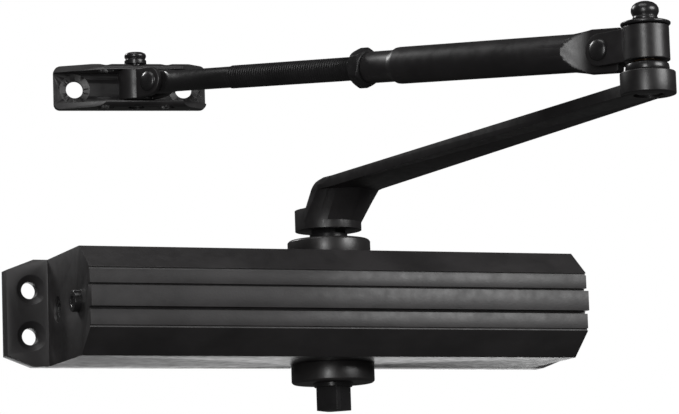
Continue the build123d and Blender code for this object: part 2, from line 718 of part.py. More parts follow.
def flat_neck(flat_end, round_end, height, thick, radius):
    """The stretch where a flattened end swells into a round of the given radius."""
    way = 1 if round_end > flat_end else -1
    squash = Plane(origin=(flat_end, 0, 0), x_dir=(0, 1, 0), z_dir=(way, 0, 0))
    full = Plane(origin=(round_end, 0, 0), x_dir=(0, 1, 0), z_dir=(way, 0, 0))
    return loft([squash * RectangleRounded(thick, height, thick * 0.45), full * Circle(radius)])


def forearm_tube():
    """The tube: flattened at the elbow, open at the other end for the rod."""
    wide = TUBE_TONGUE_HEIGHT / 2
    flat_end = TUBE_ROUND_START - 9
    tube = block(-TUBE_FLAT_PAST, flat_end, -TONGUE_THICK / 2, TONGUE_THICK / 2, -wide, wide)
    end_corners = tube.edges().filter_by(Axis.Y).group_by(Axis.X)[0]
    tube = fillet(end_corners, TUBE_FLAT_CORNER)
    tube += flat_neck(flat_end, TUBE_ROUND_START, TUBE_TONGUE_HEIGHT, TONGUE_THICK, TUBE_R)
    tube += drum(TUBE_R, TUBE_ROUND_START, TUBE_COLLAR_START - 2, "x")
    swage = Cone(TUBE_R, TUBE_COLLAR_R, 2, align=(Align.CENTER, Align.CENTER, Align.MIN))
    tube += Pos(TUBE_COLLAR_START - 2, 0, 0) * Rot(0, 90, 0) * swage
    tube += drum(TUBE_COLLAR_R, TUBE_COLLAR_START, TUBE_END, "x")
    tube -= drum(TUBE_BORE_R, TUBE_ROUND_START + 4, TUBE_COLLAR_START - 3, "x")
    tube -= drum(ROD_R + ROD_THREAD_GAP, TUBE_COLLAR_START - 4, TUBE_END + 1, "x")
    tube -= drum(PIN_R + RUNNING_GAP, -wide, wide, "y")
    return tube_plane * tube


def lock_nut():
    """The hexagonal nut that locks the rod in the tube."""
    outline = RegularPolygon(NUT_FLATS / 2, 6, major_radius=False)
    nut = Rot(0, 90, 0) * extrude(outline, NUT_LENGTH)
    cone_r = NUT_FLATS / 2 * 1.12
    nut &= chamfer(drum(cone_r, 0, NUT_LENGTH, "x").edges().filter_by(GeomType.CIRCLE), 1.1)
    nut -= drum(ROD_R + ROD_THREAD_GAP, -1, NUT_LENGTH + 1, "x")
    return tube_plane * Pos(TUBE_END, 0, 0) * nut


def threaded_rod():
    """The rod: threaded into the tube, plain near the shoe, flattened at its eye."""
    plain_start = REACH - ROD_PLAIN_LENGTH
    rod = drum(ROD_R, TUBE_COLLAR_START - ROD_INSIDE, plain_start, "x")
    rod += drum(ROD_PLAIN_R, plain_start, REACH - 11, "x")
    wide, past = ROD_TONGUE_HEIGHT / 2, REACH + ROD_FLAT_PAST
    rod += flat_neck(REACH - 6, REACH - 11, ROD_TONGUE_HEIGHT, TONGUE_THICK, ROD_PLAIN_R)
    eye = block(REACH - 6, past, -TONGUE_THICK / 2, TONGUE_THICK / 2, -wide, wide)
    rod += fillet(eye.edges().filter_by(Axis.Y).group_by(Axis.X)[-1], 2.5)
    rod -= Pos(REACH, 0, 0) * drum(PIN_R + RUNNING_GAP, -ROD_R, ROD_R, "y")
    return tube_plane * rod


# ---- frame shoe ---------------------------------------------------------


def swivel_block():
    """The block that turns in the shoe, forked for the rod's eye."""
    half = SHOE_HEIGHT / 2 - SHOE_WALL - 0.35
    bore = PIVOT_R + RUNNING_GAP
    gap = TONGUE_THICK / 2 + TONGUE_GAP
    body = drum(SWIVEL_R, -half, half)
    for side in (-1, 1):
        body += fork_ear(SWIVEL_PIN_REACH, SWIVEL_EAR_R, EAR_THICK, gap, bore, side)
    body -= drum(bore, -half - 1, half + 1)
    body -= Pos(SWIVEL_PIN_REACH, 0, 0) * drum(PIN_R, -KNUCKLE_R, KNUCKLE_R, "y")
    return swivel_plane * body


def rod_rivet():
    """The rivet that the rod tilts on at the shoe."""
    half = TONGUE_THICK / 2 + TONGUE_GAP + EAR_THICK
    return swivel_plane * Pos(SWIVEL_PIN_REACH, 0, 0) * fork_rivet(half)


def shoe_bracket():
    """The folded channel that screws to the door frame."""
    half_l, half_h = SHOE_LENGTH / 2, SHOE_HEIGHT / 2
    shoe = block(-half_l, half_l, -SHOE_DEPTH, 0, -half_h, half_h)
    inner = half_h - SHOE_WALL
    shoe -= block(-half_l - 1, half_l + 1, -SHOE_DEPTH - 1, -SHOE_WALL, -inner, inner)
    for side, taper in ((-1, SHOE_TAPER_LEFT), (1, SHOE_TAPER_RIGHT)):
        end, start = side * (half_l + 1), side * (half_l - taper)
        end_y = -SHOE_END_DEPTH + (SHOE_DEPTH - SHOE_END_DEPTH) / taper
        out = -SHOE_DEPTH - 1
        corner = Polyline((end, end_y), (end, out), (start, out), (start, -SHOE_DEPTH), close=True)
        shoe -= Pos(0, 0, -half_h - 1) * extrude(make_face(corner), SHOE_HEIGHT + 2)
    for n in (-1, 0, 1):
        hole = drum(PIVOT_HOLE_R, -half_h - 1, half_h + 1)
        shoe -= Pos(n * PIVOT_PITCH - SHOE_OFFSET, -PIVOT_DEPTH, 0) * hole
    for side in (-1, 1):
        shoe -= Pos(side * SHOE_HOLE_PITCH / 2, 0, 0) * drum(SHOE_HOLE_R, -SHOE_WALL - 1, 1, "y")
    return shoe_plane * shoe


def shoe_bolt():
    """The pivot pin down through the shoe, with a collar, a waist and a rounded head on top."""
    seat = SHOE_HEIGHT / 2
    waist = seat + BOLT_COLLAR_HEIGHT
    low = waist + BOLT_WAIST_HEIGHT
    bolt = drum(PIVOT_R, -seat + 0.5, seat)
    bolt += drum(BOLT_COLLAR_R, seat, waist)
    bolt += drum(BOLT_WAIST_R, waist, low)
    head = drum(BOLT_HEAD_R, low, low + BOLT_HEAD_HEIGHT)
    bolt += fillet(head.edges().filter_by(GeomType.CIRCLE), BOLT_HEAD_HEIGHT * 0.42)
    return Pos(pivot) * bolt


# ---- write every node ---------------------------------------------------


def main():
    """Build each node and write its STEP file."""
    os.makedirs("parts", exist_ok=True)
    save("body_casting", body_casting())
    save("end_plug", end_plug())
    save("plug_seal", plug_seal())
    for side, name in ((1, "top"), (-1, "bottom")):
        save(name + "_bearing_cap", bearing_cap(side))
        save(name + "_bearing", spindle_bearing(side))
        save(name + "_shaft_seal", shaft_seal(side))
    for side, name in ((-1, "sweep"), (1, "latch")):
        save(name + "_valve", valve(side))
        save(name + "_valve_seal", valve_seal(side))
    save("power_screw", power_screw())
    save("spring_follower", spring_follower())
    save("main_spring", main_spring())
    save("pinion_shaft", pinion_shaft())
    save("piston", piston())
    save("piston_seals", piston_seals())
    save("check_ball", check_ball())
    save("main_arm", main_arm())
    save("arm_screw", arm_screw())
    save("arm_washer", arm_washer())
    save("elbow_stud", elbow_stud())
    save("elbow_spacer", elbow_spacer())
    save("elbow_washer", elbow_washer())
    save("elbow_nut", elbow_nut())
    save("elbow_knuckle", elbow_knuckle())
    save("elbow_bush", elbow_bush())
    save("tube_rivet", tube_rivet())
    save("forearm_tube", forearm_tube())
    save("lock_nut", lock_nut())
    save("threaded_rod", threaded_rod())
    save("rod_rivet", rod_rivet())
    save("swivel_block", swivel_block())
    save("shoe_bracket", shoe_bracket())
    save("shoe_bolt", shoe_bolt())
    for name, place in (
        ("spindle", spindle),
        ("elbow", elbow),
        ("elbow_pin", elbow_pin),
        ("shoe_pin", shoe_pin),
        ("pivot", pivot),
        ("arm_way", arm_way),
        ("fore_way", fore_way),
        ("tube_way", tube_way),
        ("shoe_origin", shoe_origin),
        ("shoe_back", shoe_back),
        ("pin_way", pin_way),
    ):
        print(name, *(round(v, 4) for v in tuple(place)))
    print("stroke", round(STROKE, 3), "pitch radius", PITCH_R)


main()
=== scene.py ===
"""A surface-mounted door closer: its visible pieces, finishes and studio stage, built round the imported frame.

Lengths are metres. X runs along the closer's body, Y goes out of its mounting face, Z is up.
"""

import json
import math

import bmesh
import bpy
from bpy.props import FloatProperty, FloatVectorProperty, PointerProperty
from mathutils import Matrix, Vector


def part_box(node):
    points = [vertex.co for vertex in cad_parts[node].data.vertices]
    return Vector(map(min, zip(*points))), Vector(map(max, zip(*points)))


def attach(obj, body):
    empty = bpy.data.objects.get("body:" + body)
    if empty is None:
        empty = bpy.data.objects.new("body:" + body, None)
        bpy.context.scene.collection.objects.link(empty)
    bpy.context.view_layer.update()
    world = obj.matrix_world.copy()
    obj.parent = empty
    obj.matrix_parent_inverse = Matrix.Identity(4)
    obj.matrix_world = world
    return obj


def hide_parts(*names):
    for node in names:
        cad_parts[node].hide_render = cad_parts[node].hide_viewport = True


bl_info = {
    "name": "Door Closer Builder",
    "version": (1, 0, 0),
    "blender": (4, 5, 0),
    "location": "View3D > Sidebar > Closer",
    "description": "Builds a surface-mounted door closer, its finishes and a studio stage",
    "category": "Add Mesh",
}

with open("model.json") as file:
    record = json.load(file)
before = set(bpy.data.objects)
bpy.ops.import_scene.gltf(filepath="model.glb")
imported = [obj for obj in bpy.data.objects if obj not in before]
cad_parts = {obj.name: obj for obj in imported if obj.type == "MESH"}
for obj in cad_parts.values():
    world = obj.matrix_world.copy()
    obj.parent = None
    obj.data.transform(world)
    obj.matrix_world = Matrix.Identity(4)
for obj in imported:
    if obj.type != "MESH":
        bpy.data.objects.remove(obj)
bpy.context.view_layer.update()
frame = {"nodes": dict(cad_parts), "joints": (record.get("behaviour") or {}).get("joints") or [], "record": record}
MM = 0.001
joints = {j["name"]: j for j in frame["joints"]}


def joint_place(name):
    """Where a hinge's axis stands, in metres."""
    return Vector(joints[name]["pos_m"])


spindle = joint_place("spindle_turn")
elbow = joint_place("elbow_turn")
elbow_pin = joint_place("elbow_tilt")
shoe_pin = joint_place("shoe_tilt")
pivot = joint_place("shoe_turn")


def local_frame(origin, x_way, z_way=Vector((0, 0, 1))):
    """The matrix from a piece's own axes, x along it, to the closer's."""
    x_way = x_way.normalized()
    y_way = z_way.cross(x_way).normalized()
    z_way = x_way.cross(y_way)
    turn = Matrix((x_way, y_way, z_way)).transposed().to_4x4()
    return Matrix.Translation(origin) @ turn


def flat(vector):
    """The part of a vector that lies level."""
    return Vector((vector.x, vector.y, 0))


at_spindle = Matrix.Translation(flat(spindle))
at_arm = local_frame(flat(spindle), flat(elbow - spindle))
at_elbow = local_frame(flat(elbow), flat(pivot - elbow))
at_knuckle = local_frame(elbow, flat(pivot - elbow))
at_tube = local_frame(elbow_pin, shoe_pin - elbow_pin)
at_swivel = local_frame(pivot, flat(elbow - pivot))
at_pivot = Matrix.Translation(pivot)
shoe_back = next(mount for mount in frame["record"]["mounts"] if mount["name"] == "shoe_back")
at_shoe = local_frame(Vector(shoe_back["pos_m"]), Vector(shoe_back["axis"]).cross(Vector((0, 0, 1))))


# ---- sizes and colours --------------------------------------------------


def length(name, description, default):
    """A length property, given in millimetres and kept in metres."""
    return FloatProperty(name=name, description=description, default=default * MM, unit="LENGTH", precision=5)


def watts(name, description, default):
    """A lamp's power."""
    return FloatProperty(name=name, description=description, default=default, unit="POWER")


def colour(name, description, default):
    """A colour property."""
    return FloatVectorProperty(
        name=name, description=description, default=default, subtype="COLOR", size=3, min=0.0, max=1.0
    )


class CloserArm(bpy.types.PropertyGroup):
    """Sizes of the main arm."""

    hub_r: length("Hub radius", "Radius of the hub on the spindle", 13.95)
    hub_bottom: length("Hub bottom", "Height of the hub's lower face", 34.2)
    hub_top: length("Hub top", "Height of the hub's upper face", 42.9)
    hub_rim: length("Hub rim", "Height of the full round below the leaning neck", 3.0)
    neck_foot: length("Neck foot", "From the spindle to the neck's underside at its edges, at the hub", 2.8)
    neck_near: length("Neck near edge", "The same at the strap, on the shoe's side", 16.6)
    neck_far: length("Neck far edge", "The same at the strap, on the other side", 20.6)
    neck_bulge: length("Neck bulge", "How much further out the neck stands in its middle, at the strap", 6.0)
    strap_hub_width: length("Strap width at hub", "Width of the strap where it leaves the hub", 24.8)
    strap_elbow_width: length("Strap width at elbow", "Width of the strap at the elbow boss", 15.2)
    strap_top_hub: length("Strap top at hub", "Height of the strap's upper face above the hub", 53.2)
    strap_top_elbow: length("Strap top at elbow", "Height of the strap's upper face at the elbow", 59.3)
    strap_thick: length("Strap thickness", "Thickness of the strap", 4.4)
    boss_r: length("Boss radius", "Radius of the elbow boss", 10.25)
    boss_bottom: length("Boss bottom", "Height of the boss's lower face", 54.9)
    boss_top: length("Boss top", "Height of the boss's upper face", 63.2)
    stud_head_r: length("Stud head radius", "Radius of the stud's head in the boss", 5.6)
    seat_r: length("Screw seat radius", "Radius of the clear seat round the arm screw", 5.9)
    forged_r: length("Forged edge", "Radius of the forging's broken edges", 0.7)


class CloserForearm(bpy.types.PropertyGroup):
    """Sizes of the forearm."""

    tube_r: length("Tube radius", "Radius of the forearm tube", 7.2)
    flat_thick: length("Flat thickness", "Thickness of the tube's flattened end", 4.1)
    flat_height: length("Flat height", "Height of the tube's flattened end", 16.9)
    flat_past: length("Flat past rivet", "How far the flattened end runs past its rivet", 7.0)
    flat_end: length("Flat end", "Where the flattened end starts to swell, from its rivet", 6.0)
    round_start: length("Round start", "Where the tube is fully round, from its rivet", 16.0)
    collar_r: length("Collar radius", "Radius of the tube's swaged end", 6.2)
    collar_start: length("Collar start", "Where the swaged end starts, from the elbow rivet", 102.0)
    tube_end: length("Tube end", "Where the tube ends, from the elbow rivet", 115.7)
    rod_r: length("Rod radius", "Outer radius of the rod's thread", 4.72)
    rod_pitch: length("Thread pitch", "Pitch of the rod's thread", 1.27)
    rod_thread_depth: length("Thread depth", "Depth of the rod's thread", 0.62)
    rod_start: length("Rod start", "Where the rod starts inside the tube", 60.0)
    rod_plain_r: length("Plain radius", "Radius of the rod's plain stretch", 4.35)
    rod_plain: length("Plain length", "Length of the rod's plain stretch, to its rivet", 44.0)
    eye_height: length("Eye height", "Height of the rod's flattened eye", 9.9)
    eye_past: length("Eye past rivet", "How far the rod's eye runs past its rivet", 4.0)
    eye_corner: length("Eye corner", "Corner radius of the rod's square-ended eye", 2.4)


class CloserShoe(bpy.types.PropertyGroup):
    """Sizes of the frame shoe."""

    long: length("Shoe length", "Length of the shoe", 64.1)
    high: length("Shoe height", "Height of the shoe", 18.15)
    deep: length("Shoe depth", "How far the shoe's flanges stand out", 14.6)
    wall: length("Shoe wall", "Thickness of the shoe's metal", 2.5)
    end_deep: length("Shoe end depth", "How far the flanges stand out at their ends", 5.5)
    taper_left: length("Left taper", "Length of each flange's slanting left end", 21.0)
    taper_right: length("Right taper", "Length of each flange's slanting right end", 11.0)
    corner_r: length("Corner radius", "Radius of the shoe's corners", 2.6)
    bend_r: length("Bend radius", "Outer radius of the folds", 1.6)
    offset: length("Shoe offset", "From the pivot to the middle of the shoe", -1.8)
    pivot_deep: length("Pivot depth", "From the shoe's back to the pivot", 10.3)
    hole_r: length("Screw hole radius", "Radius of the screw holes", 3.6)
    dish_r: length("Dish radius", "Radius of the pressed dish round each screw hole", 6.4)
    hole_pitch: length("Screw hole pitch", "Distance between the screw holes", 46.0)
    pivot_pitch: length("Pivot hole pitch", "Distance between the flange holes", 12.7)
    pivot_hole_r: length("Pivot hole radius", "Radius of the flange holes", 3.4)


class CloserFinish(bpy.types.PropertyGroup):
    """Colours of the finishes."""

    body: colour("Body", "Powder coat on the body", (0.022, 0.0205, 0.021))
    cap: colour("Caps", "Satin paint on the bearing caps", (0.018, 0.017, 0.017))
    arm: colour("Arm", "Satin paint on the arms", (0.014, 0.013, 0.0135))
    shoe: colour("Shoe", "Satin paint on the shoe", (0.016, 0.015, 0.0155))
    hardware: colour("Hardware", "Black oxide on screws and rivets", (0.012, 0.0115, 0.012))
    steel: colour("Steel", "Bare ground steel", (0.55, 0.55, 0.56))
    spring: colour("Spring", "Oil-tempered spring wire", (0.19, 0.18, 0.17))
    bronze: colour("Bronze", "Sintered bronze", (0.50, 0.30, 0.13))
    rubber: colour("Rubber", "Nitrile rubber", (0.02, 0.02, 0.02))
    nylon: colour("Nylon", "Filled nylon", (0.62, 0.57, 0.46))


class CloserStage(bpy.types.PropertyGroup):
    """The studio."""

    floor_drop: length("Floor drop", "How far the floor lies below the closer's mounting holes", 600.0)
    floor_size: FloatProperty(name="Floor size", description="Side of the floor", default=14.0, unit="LENGTH")
    key_power: watts("Key light", "Power of the front softbox", 24.0)
    front_power: watts("Front light", "Power of the upright strip", 14.0)
    left_power: watts("Left light", "Power of the card behind the left", 12.0)
    top_power: watts("Top light", "Power of the overhead softbox", 9.0)
    back_power: watts("Back light", "Power of the back card", 11.0)
    floor_light: FloatProperty(
        name="Floor light", description="Strength of the light on the floor", default=3.4
    )
    world_strength: FloatProperty(name="Surroundings", description="Light from the surroundings", default=0.05)


GROUPS = {
    "closer_arm": CloserArm,
    "closer_forearm": CloserForearm,
    "closer_shoe": CloserShoe,
    "closer_finish": CloserFinish,
    "closer_stage": CloserStage,
}


# ---- modelling helpers --------------------------------------------------


def deselect():
    """Leave nothing selected."""
    if bpy.context.object and bpy.context.object.mode != "OBJECT":
        bpy.ops.object.mode_set(mode="OBJECT")
    bpy.ops.object.select_all(action="DESELECT")


def pick(piece):
    """Make one piece the active and only selected one."""
    deselect()
    bpy.context.view_layer.objects.active = piece
    piece.select_set(True)


def edit(piece, select="SELECT"):
    """Go into edit mode on a piece, with everything or nothing selected."""
    pick(piece)
    bpy.ops.object.mode_set(mode="EDIT")
    bpy.ops.mesh.select_all(action=select)


def done(piece):
    """Leave edit mode with the piece's faces pointing outwards."""
    bpy.ops.mesh.select_all(action="SELECT")
    bpy.ops.mesh.normals_make_consistent(inside=False)
    bpy.ops.object.mode_set(mode="OBJECT")
    return piece


def named(name):
    """Name the piece that was just added."""
    piece = bpy.context.object
    piece.name = name
    piece.data.name = name
    return piece


def turned(name, profile, sides=64):
    """A piece turned on a lathe about z: profile lists (height, radius) from one end to the other."""
    deselect()
    (height, radius), rest = profile[0], profile[1:]
    bpy.ops.mesh.primitive_circle_add(vertices=sides, radius=radius, fill_type="NGON", location=(0, 0, height))
    piece = named(name)
    bpy.ops.object.transform_apply(location=True, rotation=True, scale=True)
    edit(piece)
    for next_height, next_radius in rest:
        bpy.ops.mesh.extrude_region_move(TRANSFORM_OT_translate={"value": (0, 0, next_height - height)})
        ratio = next_radius / radius
        bpy.ops.transform.resize(value=(ratio, ratio, 1), center_override=(0, 0, next_height))
        height, radius = next_height, next_radius
    return done(piece)


def drum(name, radius, low, high, sides=48, way="Z"):
    """A plain cylinder about a local axis, for cutting with."""
    deselect()
    turn = {"X": (0, math.pi / 2, 0), "Y": (math.pi / 2, 0, 0), "Z": (0, 0, 0)}[way]
    middle = {"X": (1, 0, 0), "Y": (0, 1, 0), "Z": (0, 0, 1)}[way]
    place = Vector(middle) * (low + high) / 2
    bpy.ops.mesh.primitive_cylinder_add(
        vertices=sides, radius=radius, depth=high - low, location=place, rotation=turn
    )
    piece = named(name)
    bpy.ops.object.transform_apply(location=True, rotation=True, scale=True)
    return piece


def bar(name, low, high):
    """A box between two corners."""
    deselect()
    low, high = Vector(low), Vector(high)
    bpy.ops.mesh.primitive_cube_add(size=1, location=(low + high) / 2, scale=high - low)
    piece = named(name)
    bpy.ops.object.transform_apply(location=True, rotation=True, scale=True)
    return piece


def modify(piece, kind, **settings):
    """Add a modifier and apply it."""
    pick(piece)
    modifier = piece.modifiers.new(kind.title(), kind)
    for key, value in settings.items():
        setattr(modifier, key, value)
    bpy.ops.object.modifier_apply(modifier=modifier.name)
    return piece


def combine(piece, tool, operation):
    """Join a tool to a piece, cut it away, or keep what they share."""
    modify(piece, "BOOLEAN", object=tool, operation=operation, solver="EXACT")
    bpy.data.objects.remove(tool)
    return piece


def cut(piece, *tools):
    """Cut tools out of a piece."""
    for tool in tools:
        combine(piece, tool, "DIFFERENCE")
    return piece


def weld(piece, *tools):
    """Join tools to a piece."""
    for tool in tools:
        combine(piece, tool, "UNION")
    return piece


def place(piece, matrix):
    """Put a piece where its own axes stand in the closer."""
    pick(piece)
    piece.matrix_world = matrix
    bpy.ops.object.transform_apply(location=True, rotation=True, scale=True)
    return piece


def smooth(piece, angle=35.0):
    """Shade a piece smooth, except at its sharp edges."""
    pick(piece)
    bpy.ops.object.shade_smooth_by_angle(angle=math.radians(angle))
    return piece


def soften(piece, width, segments=2, angle=28.0):
    """Break a piece's sharp edges."""
    modify(
        piece,
        "BEVEL",
        width=width * MM,
        segments=segments,
        limit_method="ANGLE",
        angle_limit=math.radians(angle),
        use_clamp_overlap=True,
    )
    return smooth(piece)


def forged(piece, grain, rounds):
    """Round every edge and corner of a piece together, as a forging is."""
    modify(piece, "REMESH", mode="VOXEL", voxel_size=grain * MM, adaptivity=0.0)
    modify(piece, "SMOOTH", factor=0.5, iterations=rounds)
    return smooth(piece, 60.0)


def refined(node, width):
    """A copy of a machined node's mesh with its edges broken."""
    deselect()
    source = frame["nodes"][node]
    mesh = source.data.copy()
    piece = bpy.data.objects.new(node + "_shaped", mesh)
    bpy.context.scene.collection.objects.link(piece)
    mesh.materials.clear()
    edit(piece)
    bpy.ops.mesh.remove_doubles(threshold=0.002 * MM)
    bpy.ops.mesh.dissolve_limited(angle_limit=math.radians(1.0))
    done(piece)
    return soften(piece, width)


def skin(name, rings):
    """A closed piece through rings of points, with a face at each end."""
    mesh = bpy.data.meshes.new(name)
    shell = bmesh.new()
    rows = [[shell.verts.new(point) for point in ring] for ring in rings]
    count = len(rows[0])
    for here, there in zip(rows, rows[1:]):
        for i in range(count):
            j = (i + 1) % count
            shell.faces.new((here[i], here[j], there[j], there[i]))
    shell.faces.new(rows[0])
    shell.faces.new(rows[-1])
    bmesh.ops.recalc_face_normals(shell, faces=shell.faces)
    shell.to_mesh(mesh)
    shell.free()
    piece = bpy.data.objects.new(name, mesh)
    bpy.context.scene.collection.objects.link(piece)
    return piece


def finish_piece(piece, body, node, finish):
    """Give a piece its body, the node it stands for and its finish."""
    piece.data.materials.clear()
    piece.data.materials.append(finish)
    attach(piece, body)
    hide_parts(node)
    return piece


# ---- finishes -----------------------------------------------------------


def new_finish(name):
    """An empty node material with its shader, and the object coordinates."""
    finish = bpy.data.materials.get(name)
    if finish:
        return finish, None, None
    finish = bpy.data.materials.new(name)
    finish.use_nodes = True
    nodes = finish.node_tree.nodes
    shader = nodes["Principled BSDF"]
    coordinates = nodes.new("ShaderNodeTexCoord").outputs["Object"]
    return finish, shader, coordinates


def noise(finish, coordinates, scale, detail=3.0, rough=0.55):
    """A noise pattern, with scale in cells per metre."""
    node = finish.node_tree.nodes.new("ShaderNodeTexNoise")
    node.inputs["Scale"].default_value = scale
    node.inputs["Detail"].default_value = detail
    node.inputs["Roughness"].default_value = rough
    finish.node_tree.links.new(coordinates, node.inputs["Vector"])
    return node.outputs["Fac"]


def ramp(finish, source, low, high, start=0.35, end=0.65):
    """Map a pattern to a range of colours."""
    node = finish.node_tree.nodes.new("ShaderNodeValToRGB")
    first, last = node.color_ramp.elements
    first.position, last.position = start, end
    first.color = (*low, 1)
    last.color = (*high, 1)
    finish.node_tree.links.new(source, node.inputs["Fac"])
    return node.outputs["Color"]


def spread(finish, source, low, high):
    """Map a pattern to a range of values."""
    node = finish.node_tree.nodes.new("ShaderNodeMapRange")
    node.inputs["From Min"].default_value = 0.3
    node.inputs["From Max"].default_value = 0.7
    node.inputs["To Min"].default_value = low
    node.inputs["To Max"].default_value = high
    finish.node_tree.links.new(source, node.inputs["Value"])
    return node.outputs["Result"]


def bump(finish, shader, source, strength, depth):
    """Raise a surface by a pattern; depth is in millimetres."""
    node = finish.node_tree.nodes.new("ShaderNodeBump")
    node.inputs["Strength"].default_value = strength
    node.inputs["Distance"].default_value = depth * MM
    links = finish.node_tree.links
    links.new(source, node.inputs["Height"])
    links.new(node.outputs["Normal"], shader.inputs["Normal"])


def scaled(tint, factor):
    """A tint made lighter or darker."""
    return tuple(min(1.0, channel * factor) for channel in tint)


def paint(name, tint, rough, grain, depth):
    """Satin or powder-coated black: a fine orange peel, faint clouding and small changes of gloss."""
    finish, shader, coordinates = new_finish(name)
    if shader is None:
        return finish
    links = finish.node_tree.links
    cloud = noise(finish, coordinates, 45.0)
    links.new(ramp(finish, cloud, scaled(tint, 0.8), scaled(tint, 1.25)), shader.inputs["Base Color"])
    fleck = noise(finish, coordinates, grain, detail=2.0)
    gloss = noise(finish, coordinates, grain * 0.2)
    links.new(spread(finish, gloss, rough - 0.05, rough + 0.06), shader.inputs["Roughness"])
    bump(finish, shader, fleck, 0.55, depth)
    shader.inputs["Specular IOR Level"].default_value = 0.5
    return finish


def metal(name, tint, rough, grain, metallic=1.0, stretch=(1, 1, 1)):
    """Bare metal with a directional tool grain."""
    finish, shader, coordinates = new_finish(name)
    if shader is None:
        return finish
    links = finish.node_tree.links
    mapping = finish.node_tree.nodes.new("ShaderNodeMapping")
    mapping.inputs["Scale"].default_value = stretch
    links.new(coordinates, mapping.inputs["Vector"])
    lines = noise(finish, mapping.outputs["Vector"], grain)
    links.new(ramp(finish, lines, scaled(tint, 0.85), scaled(tint, 1.1)), shader.inputs["Base Color"])
    links.new(spread(finish, lines, rough - 0.06, rough + 0.08), shader.inputs["Roughness"])
    shader.inputs["Metallic"].default_value = metallic
    bump(finish, shader, lines, 0.3, 0.01)
    return finish


def finishes():
    """Every finish of the closer, by the record's slot."""
    tints = bpy.context.scene.closer_finish
    return {
        "body_black": paint("Powder Coat Black", tints.body, 0.46, 1100.0, 0.06),
        "cap_black": paint("Cap Satin Black", tints.cap, 0.34, 1800.0, 0.015),
        "arm_black": paint("Arm Satin Black", tints.arm, 0.36, 1300.0, 0.02),
        "shoe_black": paint("Shoe Satin Black", tints.shoe, 0.38, 1500.0, 0.02),
        "hardware_black": paint("Black Oxide", tints.hardware, 0.28, 2200.0, 0.01),
        "rod_black": paint("Black Thread", tints.hardware, 0.3, 2200.0, 0.01),
        "spindle_black": paint("Spindle Black Oxide", tints.hardware, 0.3, 2000.0, 0.01),
        "ground_steel": metal("Ground Steel", tints.steel, 0.28, 900.0, stretch=(0.15, 1, 1)),
        "spring_steel": metal("Spring Wire", tints.spring, 0.4, 700.0),
        "bronze": metal("Sintered Bronze", tints.bronze, 0.45, 2400.0),
        "seal_rubber": paint("Nitrile Rubber", tints.rubber, 0.6, 2500.0, 0.01),
        "piston_ring": paint("Filled Nylon", tints.nylon, 0.5, 1800.0, 0.01),
    }


# ---- operators ----------------------------------------------------------


class CLOSER_OT_finishes(bpy.types.Operator):
    """Make the finishes and put them on the closer's own nodes."""

    bl_idname = "closer.finishes"
    bl_label = "Apply Finishes"

    def execute(self, context):
        made = finishes()
        for row in frame["record"]["subparts"]:
            mesh = frame["nodes"][row["node"]].data
            mesh.materials.clear()
            mesh.materials.append(made[row["material_slot"]])
        return {"FINISHED"}


class CLOSER_OT_body(bpy.types.Operator):
    """Break the edges of the machined pieces: casting, caps, valves, spindle and small fittings."""

    bl_idname = "closer.body"
    bl_label = "Shape Body And Fittings"

    machined = (
        ("body_casting", "body", "body_black", 0.35),
        ("top_bearing_cap", "body", "cap_black", 0.25),
        ("bottom_bearing_cap", "body", "cap_black", 0.25),
        ("end_plug", "body", "hardware_black", 0.3),
        ("sweep_valve", "sweep_valve_body", "hardware_black", 0.2),
        ("latch_valve", "latch_valve_body", "hardware_black", 0.2),
        ("power_screw", "power_screw_body", "hardware_black", 0.2),
        ("pinion_shaft", "spindle_arm", "spindle_black", 0.2),
        ("arm_screw", "spindle_arm", "hardware_black", 0.2),
        ("arm_washer", "spindle_arm", "hardware_black", 0.15),
        ("lock_nut", "tube", "hardware_black", 0.2),
    )

    def execute(self, context):
        made = finishes()
        for node, body, slot, width in self.machined:
            finish_piece(refined(node, width), body, node, made[slot])
        return {"FINISHED"}


